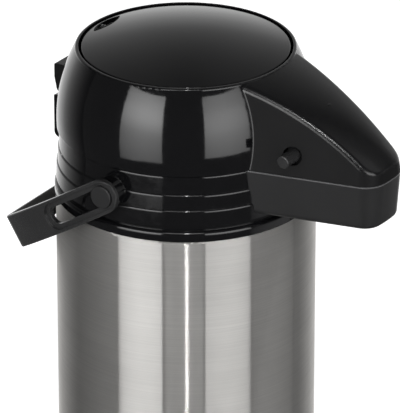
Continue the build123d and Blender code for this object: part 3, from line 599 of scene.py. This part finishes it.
@dataclass
class Pump(SubAssembly):
    """The bellows and the coil springs.

    Args:
        bellows_fold: depth of a fold, in metres
        bellows_wall: thickness of its rubber
        bellows_flange: height of each end's flange
        bellows_folds: how many folds it has
        fold_steps: facets in a fold
        round_steps: facets round the body axis
        sharp_angle: least angle of an edge that is shaded sharp, in degrees
        seat_gap: room between the bellows and the cup over it
        disc_travel: how far the disc goes down; not used
        spring_wire: the pump spring's wire
        spring_turns: its open turns
        button_wire: a release spring's wire
        button_turns: its open turns
        button_travel: how far a button goes in; not used
        wire_sides: facets round a wire
        turn_steps: facets in a turn
        end_rise: climb of a closed end turn, in wire diameters
    """

    bellows_fold: float = 0.006
    bellows_wall: float = 0.0016
    bellows_flange: float = 0.0012
    bellows_folds: int = 6
    fold_steps: int = 8
    round_steps: int = 96
    sharp_angle: float = 40.0
    seat_gap: float = 0.00003
    disc_travel: float = 0.025
    spring_wire: float = 0.002
    spring_turns: int = 6
    button_wire: float = 0.0007
    button_turns: int = 5
    button_travel: float = 0.005
    wire_sides: int = 8
    turn_steps: int = 24
    end_rise: float = 1.05

    def bellows(self) -> None:
        """Builds the bellows, a rubber wall of round folds between two flanges."""
        low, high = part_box("bellows")
        crest = high.x
        root = crest - self.bellows_fold
        valley = root + self.bellows_wall
        bottom = low.z + self.bellows_flange
        top = high.z - self.bellows_flange
        steps = self.bellows_folds * self.fold_steps
        outer = []
        for step in range(steps + 1):
            swell = (1.0 - math.cos(2 * math.pi * step / self.fold_steps)) / 2
            outer.append((valley + (crest - valley) * swell, bottom + (top - bottom) * step / steps))
        inner = [(radius - self.bellows_wall, height) for radius, height in reversed(outer)]
        foot = [(root, low.z), (crest, low.z), (crest, bottom)]
        under_cup = high.z - self.seat_gap
        head = [(crest, top), (crest, under_cup), (root, under_cup)]
        profile = [*foot, *outer, *head, *inner]
        points = []
        for step in range(self.round_steps):
            turn = 2 * math.pi * step / self.round_steps
            across, along = math.cos(turn), math.sin(turn)
            points += [(radius * across, radius * along, height) for radius, height in profile]
        mesh = self.skinned("bellows_folds", points, len(profile), closed=True)
        thing = self.piece("bellows_folds", mesh, BELLOWS_RUBBER, "lid", "bellows")
        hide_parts("bellows")
        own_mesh(thing)

    def skinned(
        self, name: str, points: list[Point | Vector], across: int, closed: bool
    ) -> bpy.types.Mesh:
        """A mesh over rings of points.

        Args:
            name: the mesh's name
            points: the rings' points, ring after ring
            across: how many points a ring has
            closed: joins the last ring to the first, and caps the ends otherwise

        Returns:
            the mesh
        """
        rings = len(points) // across
        faces = []
        for ring in range(rings if closed else rings - 1):
            after = (ring + 1) % rings
            for spot in range(across):
                onward = (spot + 1) % across
                here = ring * across
                there = after * across
                faces.append((here + spot, there + spot, there + onward, here + onward))
        if not closed:
            faces.append(tuple(range(across)))
            faces.append(tuple(reversed(range(len(points) - across, len(points)))))
        mesh = bpy.data.meshes.new(name)
        mesh.from_pydata(points, [], faces)
        mesh.shade_smooth()
        mesh.set_sharp_from_angle(angle=math.radians(self.sharp_angle))
        return mesh

    def coil(
        self, name: str, start: Vector, axis: Vector, length: float, radius: float, wire: float, turns: int
    ) -> bpy.types.Mesh:
        """A coil spring's mesh, with a closed turn at each end.

        Args:
            name: the mesh's name
            start: middle of its first end
            axis: the direction that it runs in
            length: its whole length
            radius: radius of the wire's middle line
            wire: the wire's diameter
            turns: how many open turns it has

        Returns:
            the mesh
        """
        closed = self.end_rise * wire
        pitch = (length - wire - 2 * closed) / turns
        side = Vector((1.0, 0.0, 0.0))
        other = axis.cross(side)
        points = []
        for step in range((turns + 2) * self.turn_steps + 1):
            turn = step / self.turn_steps
            climb = closed * min(turn, 1.0) + pitch * max(0.0, min(turn - 1.0, turns))
            climb += closed * max(0.0, turn - 1.0 - turns)
            angle = 2 * math.pi * turn
            out = side * math.cos(angle) + other * math.sin(angle)
            middle = start + axis * (wire / 2 + climb) + out * radius
            for corner in range(self.wire_sides):
                lean = 2 * math.pi * corner / self.wire_sides
                points.append(middle + (out * math.cos(lean) + axis * math.sin(lean)) * (wire / 2))
        return self.skinned(name, points, self.wire_sides, closed=False)

    def return_spring(self) -> None:
        """Builds the spring inside the bellows."""
        low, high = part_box("pump_spring")
        start = Vector((0.0, 0.0, low.z))
        axis = Vector((0.0, 0.0, 1.0))
        length = high.z - low.z
        radius = high.x - self.spring_wire / 2
        mesh = self.coil("pump_coil", start, axis, length, radius, self.spring_wire, self.spring_turns)
        thing = self.piece("pump_coil", mesh, BRIGHT_STEEL, "lid", "pump_spring")
        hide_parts("pump_spring")
        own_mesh(thing)

    def release_spring(self, name: str, side: float) -> None:
        """Builds one release button's spring.

        Args:
            name: left or right
            side: 1 for the left one, -1 for the right one
        """
        node = f"release_spring_{name}"
        low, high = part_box(node)
        middle = (low + high) / 2
        start = Vector((middle.x, low.y if side > 0 else high.y, middle.z))
        axis = Vector((0.0, side, 0.0))
        length = high.y - low.y
        radius = (high.x - low.x - self.button_wire) / 2
        piece = f"release_coil_{name}"
        mesh = self.coil(piece, start, axis, length, radius, self.button_wire, self.button_turns)
        thing = self.piece(piece, mesh, BRIGHT_STEEL, "lid", node)
        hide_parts(node)
        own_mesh(thing)

    def dress(self) -> None:
        """Builds the four pieces."""
        self.bellows()
        self.return_spring()
        self.release_spring("left", 1.0)
        self.release_spring("right", -1.0)


@dataclass(frozen=True)
class Lens:
    """The lock's outline: two arcs that meet in points.

    Args:
        half_length: half of its length, in metres
        half_width: half of its width at the middle
    """

    half_length: float
    half_width: float

    def reach(self, along: float) -> float:
        """Half of the width at a distance from the middle."""
        radius = (self.half_length**2 + self.half_width**2) / (2 * self.half_width)
        return max(0.0, math.sqrt(radius**2 - along**2) - radius + self.half_width)


@dataclass
class Lock(SubAssembly):
    """A raised dull lip round the lock's pocket, which is a painted shade for the pocket's deep end, and
    the thumb rib on its slider, coloured lighter as a painted highlight.

    Args:
        pocket: the pocket's outline
        middle_x: where the pocket's middle is, behind the body axis
        sphere: radius of the disc's crowned top, in metres
        lip_width: the lip's width where it is whole
        lip_rows: pairs of share of the way inwards and height over the disc
        lip_share: share of the width that the lip has at the pocket's middle
        lip_fade: how much that share changes to each side
        fade_length: how fast it changes, in half lengths of the pocket
        steps: facets round the lip
        rib_half_width: half of the rib's length across the slider
        rib_half_foot: half of its thickness at the foot
        rib_half_crest: half of its thickness at the crest
        rib_height: its height
    """

    pocket: Lens = Lens(0.013, 0.0034)
    middle_x: float = -0.0576
    sphere: float = 0.24021
    lip_width: float = 0.0016
    lip_rows: Curve = ((0.0, -0.0002), (0.0, 0.0001), (0.3, 0.00035), (1.0, 0.0001), (1.0, -0.0002))
    lip_share: float = 0.5
    lip_fade: float = 0.42
    fade_length: float = 0.4
    steps: int = 32
    rib_half_width: float = 0.0017
    rib_half_foot: float = 0.0012
    rib_half_crest: float = 0.0004
    rib_height: float = 0.0021

    def drop(self, x: float, y: float) -> float:
        """How far the disc's surface lies below its middle at a place."""
        return self.sphere - math.sqrt(self.sphere**2 - x**2 - y**2)

    def lip(self) -> None:
        """Builds the lip, a raised dull band that is a painted shade for the pocket's deep end: wide at the
        slider's end of the pocket and fading towards the other.
        """
        points = []
        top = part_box("push_disc")[1].z
        for index in range(self.steps):
            turn = 2 * math.pi * index / self.steps
            along = -self.pocket.half_length * math.cos(turn)
            side = math.copysign(1.0, math.sin(turn)) * self.pocket.reach(along)
            fading = math.tanh(along / (self.fade_length * self.pocket.half_length))
            share = self.lip_share - self.lip_fade * fading
            grow = self.lip_width * share
            for inward, lift in self.lip_rows:
                out = grow * (1.0 - inward)
                x = self.middle_x + side + out * math.sin(turn)
                y = along - out * math.cos(turn)
                points.append((x, y, top - self.drop(x, y) + lift))
        rows = len(self.lip_rows)
        faces = []
        for index in range(self.steps):
            after = (index + 1) % self.steps
            for row in range(rows):
                below = (row + 1) % rows
                here, there = index * rows, after * rows
                faces.append((here + row, there + row, there + below, here + below))
        mesh = bpy.data.meshes.new("lock_painted_shade_lip")
        mesh.from_pydata(points, [], faces)
        # Painted shade: a dull dark band round the pocket, wide at one end, stands in for the shade inside
        # the pocket.
        self.piece("lock_painted_shade_lip", mesh, DULL_BLACK, "pump_disc", "push_disc")

    def rib(self) -> None:
        """Builds the thumb rib across the slider's ridge, in the lighter black that is a painted highlight.
        """
        low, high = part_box("lock_slider")
        middle = (low + high) / 2
        profile = (
            (-self.rib_half_foot, -self.rib_height),
            (self.rib_half_foot, -self.rib_height),
            (self.rib_half_crest, 0.0),
            (-self.rib_half_crest, 0.0),
        )
        points = []
        for side in (-1.0, 1.0):
            x = middle.x + side * self.rib_half_width
            points += [(x, middle.y + place, high.z + lift) for place, lift in profile]
        faces = [(3, 2, 1, 0), (4, 5, 6, 7)]
        faces += [(i, (i + 1) % 4, (i + 1) % 4 + 4, i + 4) for i in range(4)]
        mesh = bpy.data.meshes.new("lock_rib")
        mesh.from_pydata(points, [], faces)
        # Painted highlight: the rib takes the lighter black in place of its highlight.
        self.piece("lock_rib", mesh, PAINTED_SHEEN_BLACK, "lock", "lock_slider")

    def dress(self) -> None:
        """Builds both pieces."""
        self.lip()
        self.rib()


@dataclass(frozen=True)
class CameraView:
    """The photograph's view: a long lens from above the front right.

    Args:
        azimuth: degrees round from the near side
        elevation: degrees above the horizon
        distance: metres from the aim point
        scale: image pixels to a millimetre at the body axis
        seam: height of the lid's seam, in metres
        axis_pixel: where the body axis meets the seam's plane in the image
        image: image width and height in pixels
        sensor: the camera's sensor width, in millimetres
        clip: the nearest and the farthest distance that is seen
    """

    azimuth: float = 33.5
    elevation: float = 25.2
    distance: float = 3.0
    scale: float = 1.6375
    seam: float = 0.3083
    axis_pixel: tuple[float, float] = (186.0, 122.9)
    image: tuple[int, int] = (400, 413)
    sensor: float = 36.0
    clip: tuple[float, float] = (0.1, 20.0)

    def axes(self) -> tuple[Vector, Vector, Vector]:
        """Works out the image's directions.

        Returns:
            right, up, and back to the camera
        """
        turn = math.radians(self.azimuth)
        rise = math.radians(self.elevation)
        back = Vector((math.sin(turn) * math.cos(rise), -math.cos(turn) * math.cos(rise), math.sin(rise)))
        right = Vector((math.cos(turn), math.sin(turn), 0.0))
        return right, back.cross(right), back

    def place(self) -> bpy.types.Object:
        """Makes the camera.

        Returns:
            the camera object, which is also the scene's camera
        """
        right, up, back = self.axes()
        pixel = MILLIMETRE / self.scale
        across = (self.image[0] / 2 - self.axis_pixel[0]) * pixel
        down = (self.image[1] / 2 - self.axis_pixel[1]) * pixel
        aim = Vector((0.0, 0.0, self.seam)) + right * across - up * down
        lens = bpy.data.cameras.new("photo_camera")
        lens.sensor_width = self.sensor
        lens.lens = self.sensor * self.distance / (max(self.image) * pixel)
        lens.clip_start, lens.clip_end = self.clip
        camera = bpy.data.objects.new("photo_camera", lens)
        camera.rotation_mode = "QUATERNION"
        camera.rotation_quaternion = back.to_track_quat("Z", "Y")
        camera.location = aim + back * self.distance
        bpy.context.scene.collection.objects.link(camera)
        bpy.context.scene.camera = camera
        LOG.info("camera at %s", tuple(round(value, 3) for value in camera.location))
        return camera


@dataclass(frozen=True)
class Panel:
    """A standing light panel, curved about the body axis.

    Args:
        name: the panel's name
        low: azimuth of its left edge from the camera, in degrees to the right
        high: azimuth of its right edge
        bottom: height of its lower edge, in metres
        top: height of its upper edge
        radius: distance from the body axis, in metres
        glow: pairs of relative height and radiance, from bottom to top
        across: pairs of relative place and share of the radiance, from left to right
    """

    name: str
    low: float
    high: float
    bottom: float
    top: float
    radius: float
    glow: Curve
    across: Curve


PANELS = (
    Panel(
        name="left_panel",
        low=-58.0,
        high=-20.0,
        bottom=-0.25,
        top=1.12,
        radius=1.6,
        glow=((0.0, 1.9), (0.18, 2.5), (0.38, 3.4), (0.51, 4.9), (0.65, 6.0), (0.78, 5.6), (1.0, 3.8)),
        across=((0.0, 0.6), (0.25, 0.86), (0.6, 1.0), (1.0, 0.85)),
    ),
    Panel(
        name="right_panel",
        low=16.0,
        high=55.0,
        bottom=-0.13,
        top=1.12,
        radius=1.6,
        glow=((0.0, 2.3), (0.11, 2.6), (0.32, 3.4), (0.46, 4.1), (0.61, 4.2), (0.75, 3.6), (1.0, 3.0)),
        across=((0.0, 0.85), (0.4, 1.0), (0.75, 0.9), (1.0, 0.7)),
    ),
    Panel(
        name="back_panel",
        low=100.0,
        high=260.0,
        bottom=-0.9,
        top=2.6,
        radius=1.6,
        glow=((0.0, 0.8), (0.17, 0.95), (0.32, 0.95), (0.4, 0.8), (0.47, 0.57), (0.58, 0.32), (1.0, 0.14)),
        across=(
            (0.0, 0.03),
            (0.06, 0.15),
            (0.19, 0.6),
            (0.28, 1.1),
            (0.345, 1.2),
            (0.42, 1.25),
            (0.5, 1.08),
            (0.58, 1.25),
            (0.655, 1.2),
            (0.72, 1.1),
            (0.81, 0.6),
            (0.94, 0.15),
            (1.0, 0.03),
        ),
    ),
    Panel(
        name="right_fill",
        low=58.0,
        high=128.0,
        bottom=0.7,
        top=3.2,
        radius=1.6,
        glow=((0.0, 0.0), (0.15, 0.25), (0.4, 0.5), (0.8, 0.45), (1.0, 0.0)),
        across=((0.0, 0.0), (0.25, 0.7), (0.5, 1.0), (0.75, 0.7), (1.0, 0.0)),
    ),
    Panel(
        name="right_wash",
        low=57.0,
        high=108.0,
        bottom=-0.7,
        top=0.8,
        radius=1.6,
        glow=((0.0, 0.45), (0.5, 0.4), (1.0, 0.1)),
        across=((0.0, 0.5), (0.3, 1.0), (0.7, 1.0), (1.0, 0.5)),
    ),
    Panel(
        name="strobe_halo",
        low=-20.6,
        high=16.6,
        bottom=1.5,
        top=2.4,
        radius=1.62,
        glow=((0.0, 0.0), (0.3, 4.2), (0.7, 4.2), (1.0, 0.0)),
        across=((0.0, 1.0), (0.47, 1.0), (0.54, 1.5), (0.578, 2.4), (0.62, 1.5), (0.69, 1.0), (1.0, 1.0)),
    ),
    Panel(
        name="strobe",
        low=-0.6,
        high=2.2,
        bottom=1.7,
        top=2.2,
        radius=1.6,
        glow=((0.0, 60.0), (1.0, 60.0)),
        across=((0.0, 1.0), (1.0, 1.0)),
    ),
)


@dataclass
class Studio:
    """The floor, the white surround and the light panels.

    Args:
        azimuth: the camera's azimuth, in degrees
        strip: most degrees that one flat strip of a panel takes
        floor_colour: the floor's base colour
        floor_roughness: its mean roughness and how far that strays
        floor_grain: pattern units of that to a metre
        floor_glow: how far the camera sees the floor lifted towards white
        floor_reach: half of the floor's side, in metres
        floor_level: its height, just under the foot
        dimness: strength of the world on everything but the camera
    """

    azimuth: float
    strip: float = 5.0
    floor_colour: Colour = (0.86, 0.86, 0.86)
    floor_roughness: tuple[float, float] = (0.8, 0.05)
    floor_grain: float = 400.0
    floor_glow: float = 0.72
    floor_reach: float = 1.5
    floor_level: float = -0.0003
    dimness: float = 0.1

    def direction(self, angle: float) -> Vector:
        """The level direction at so many degrees to the right of the camera."""
        turn = math.radians(self.azimuth + angle)
        return Vector((math.sin(turn), -math.cos(turn), 0.0))

    def graded(self, sheet: Sheet, place: Socket, curve: Curve) -> Socket:
        """A smooth value over a relative place.

        Args:
            sheet: the node tree to fill
            place: the 0 to 1 place's socket
            curve: pairs of place and value

        Returns:
            the value's socket
        """
        peak = max(value for _, value in curve)
        node = sheet.add("ShaderNodeFloatCurve", {"Value": place})
        points = node.mapping.curves[0].points
        points[0].location = (0.0, curve[0][1] / peak)
        points[-1].location = (1.0, curve[-1][1] / peak)
        for position, value in curve[1:-1]:
            points.new(position, value / peak)
        node.mapping.update()
        return sheet.maths("MULTIPLY", node.outputs[0], peak)

    def glowing(self, panel: Panel) -> Material:
        """A panel's light, graded over its height and its width.

        Args:
            panel: the panel

        Returns:
            the material
        """
        sheet = Sheet(panel.name)
        spot = sheet.add("ShaderNodeUVMap", uv_map="panel")
        place = sheet.add("ShaderNodeSeparateXYZ", {0: spot.outputs[0]})
        height = self.graded(sheet, place.outputs["Y"], panel.glow)
        width = self.graded(sheet, place.outputs["X"], panel.across)
        power = sheet.maths("MULTIPLY", height, width)
        return sheet.close(sheet.add("ShaderNodeEmission", {"Strength": power}).outputs[0])

    def stand(self, panel: Panel) -> bpy.types.Object:
        """Builds one panel, unseen by the camera.

        Args:
            panel: the panel

        Returns:
            the panel's object
        """
        steps = max(2, round((panel.high - panel.low) / self.strip))
        corners = []
        for step in range(steps + 1):
            angle = panel.low + (panel.high - panel.low) * step / steps
            foot = self.direction(angle) * panel.radius
            corners += [(foot.x, foot.y, panel.bottom), (foot.x, foot.y, panel.top)]
        faces = [(2 * i, 2 * i + 2, 2 * i + 3, 2 * i + 1) for i in range(steps)]
        mesh = bpy.data.meshes.new(panel.name)
        mesh.from_pydata(corners, [], faces)
        spots = mesh.uv_layers.new(name="panel")
        for loop in mesh.loops:
            step, level = divmod(loop.vertex_index, 2)
            spots.data[loop.index].uv = (step / steps, level)
        mesh.materials.append(self.glowing(panel))
        lamp = bpy.data.objects.new(panel.name, mesh)
        lamp.visible_camera = False
        lamp.visible_shadow = False
        bpy.context.scene.collection.objects.link(lamp)
        LOG.info("panel %s", panel.name)
        return lamp

    def lay_floor(self) -> bpy.types.Object:
        """Builds the pale floor, which keeps shadows and stays out of reflections.

        Returns:
            the floor's object
        """
        sheet = Sheet("pale_floor")
        fine = sheet.noise(sheet.stretched((self.floor_grain, self.floor_grain, self.floor_grain)))
        seen = sheet.add("ShaderNodeLightPath").outputs["Is Camera Ray"]
        inputs = {
            "Base Color": (*self.floor_colour, 1.0),
            "Roughness": sheet.varied(fine, *self.floor_roughness),
            "Emission Color": (1.0, 1.0, 1.0, 1.0),
            "Emission Strength": sheet.maths("MULTIPLY", seen, self.floor_glow),
        }
        reach = self.floor_reach
        sides = ((-reach, -reach), (reach, -reach), (reach, reach), (-reach, reach))
        mesh = bpy.data.meshes.new("floor")
        mesh.from_pydata([(x, y, self.floor_level) for x, y in sides], [], [(0, 1, 2, 3)])
        mesh.materials.append(sheet.close(sheet.add("ShaderNodeBsdfPrincipled", inputs).outputs[0]))
        floor = bpy.data.objects.new("floor", mesh)
        floor.visible_glossy = False
        bpy.context.scene.collection.objects.link(floor)
        return floor

    def surround(self) -> None:
        """Makes the world: white to the camera, dim grey to everything else."""
        world = bpy.data.worlds.new("surround")
        world.use_nodes = True
        tree = world.node_tree
        tree.nodes.clear()
        path = tree.nodes.new("ShaderNodeLightPath")
        dim = tree.nodes.new("ShaderNodeBackground")
        white = tree.nodes.new("ShaderNodeBackground")
        for glow, strength in ((dim, self.dimness), (white, 1.0)):
            glow.inputs["Color"].default_value = (1.0, 1.0, 1.0, 1.0)
            glow.inputs["Strength"].default_value = strength
        mix = tree.nodes.new("ShaderNodeMixShader")
        out = tree.nodes.new("ShaderNodeOutputWorld")
        tree.links.new(path.outputs["Is Camera Ray"], mix.inputs[0])
        tree.links.new(dim.outputs[0], mix.inputs[1])
        tree.links.new(white.outputs[0], mix.inputs[2])
        tree.links.new(mix.outputs[0], out.inputs["Surface"])
        bpy.context.scene.world = world

    def build(self) -> None:
        """Builds the whole studio."""
        self.surround()
        self.lay_floor()
        for panel in PANELS:
            self.stand(panel)


def main() -> None:
    """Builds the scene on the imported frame."""
    logging.basicConfig(level=logging.INFO, format="%(name)s: %(message)s")
    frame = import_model()
    shop = FinishShop()
    for group in (Body, Flask, Collar, Lid, Pump, Lock):
        group(frame, shop).dress()
    view = CameraView()
    view.place()
    Studio(view.azimuth).build()
    bpy.context.scene.view_settings.view_transform = "Standard"


if __name__ == "__main__":
    main()
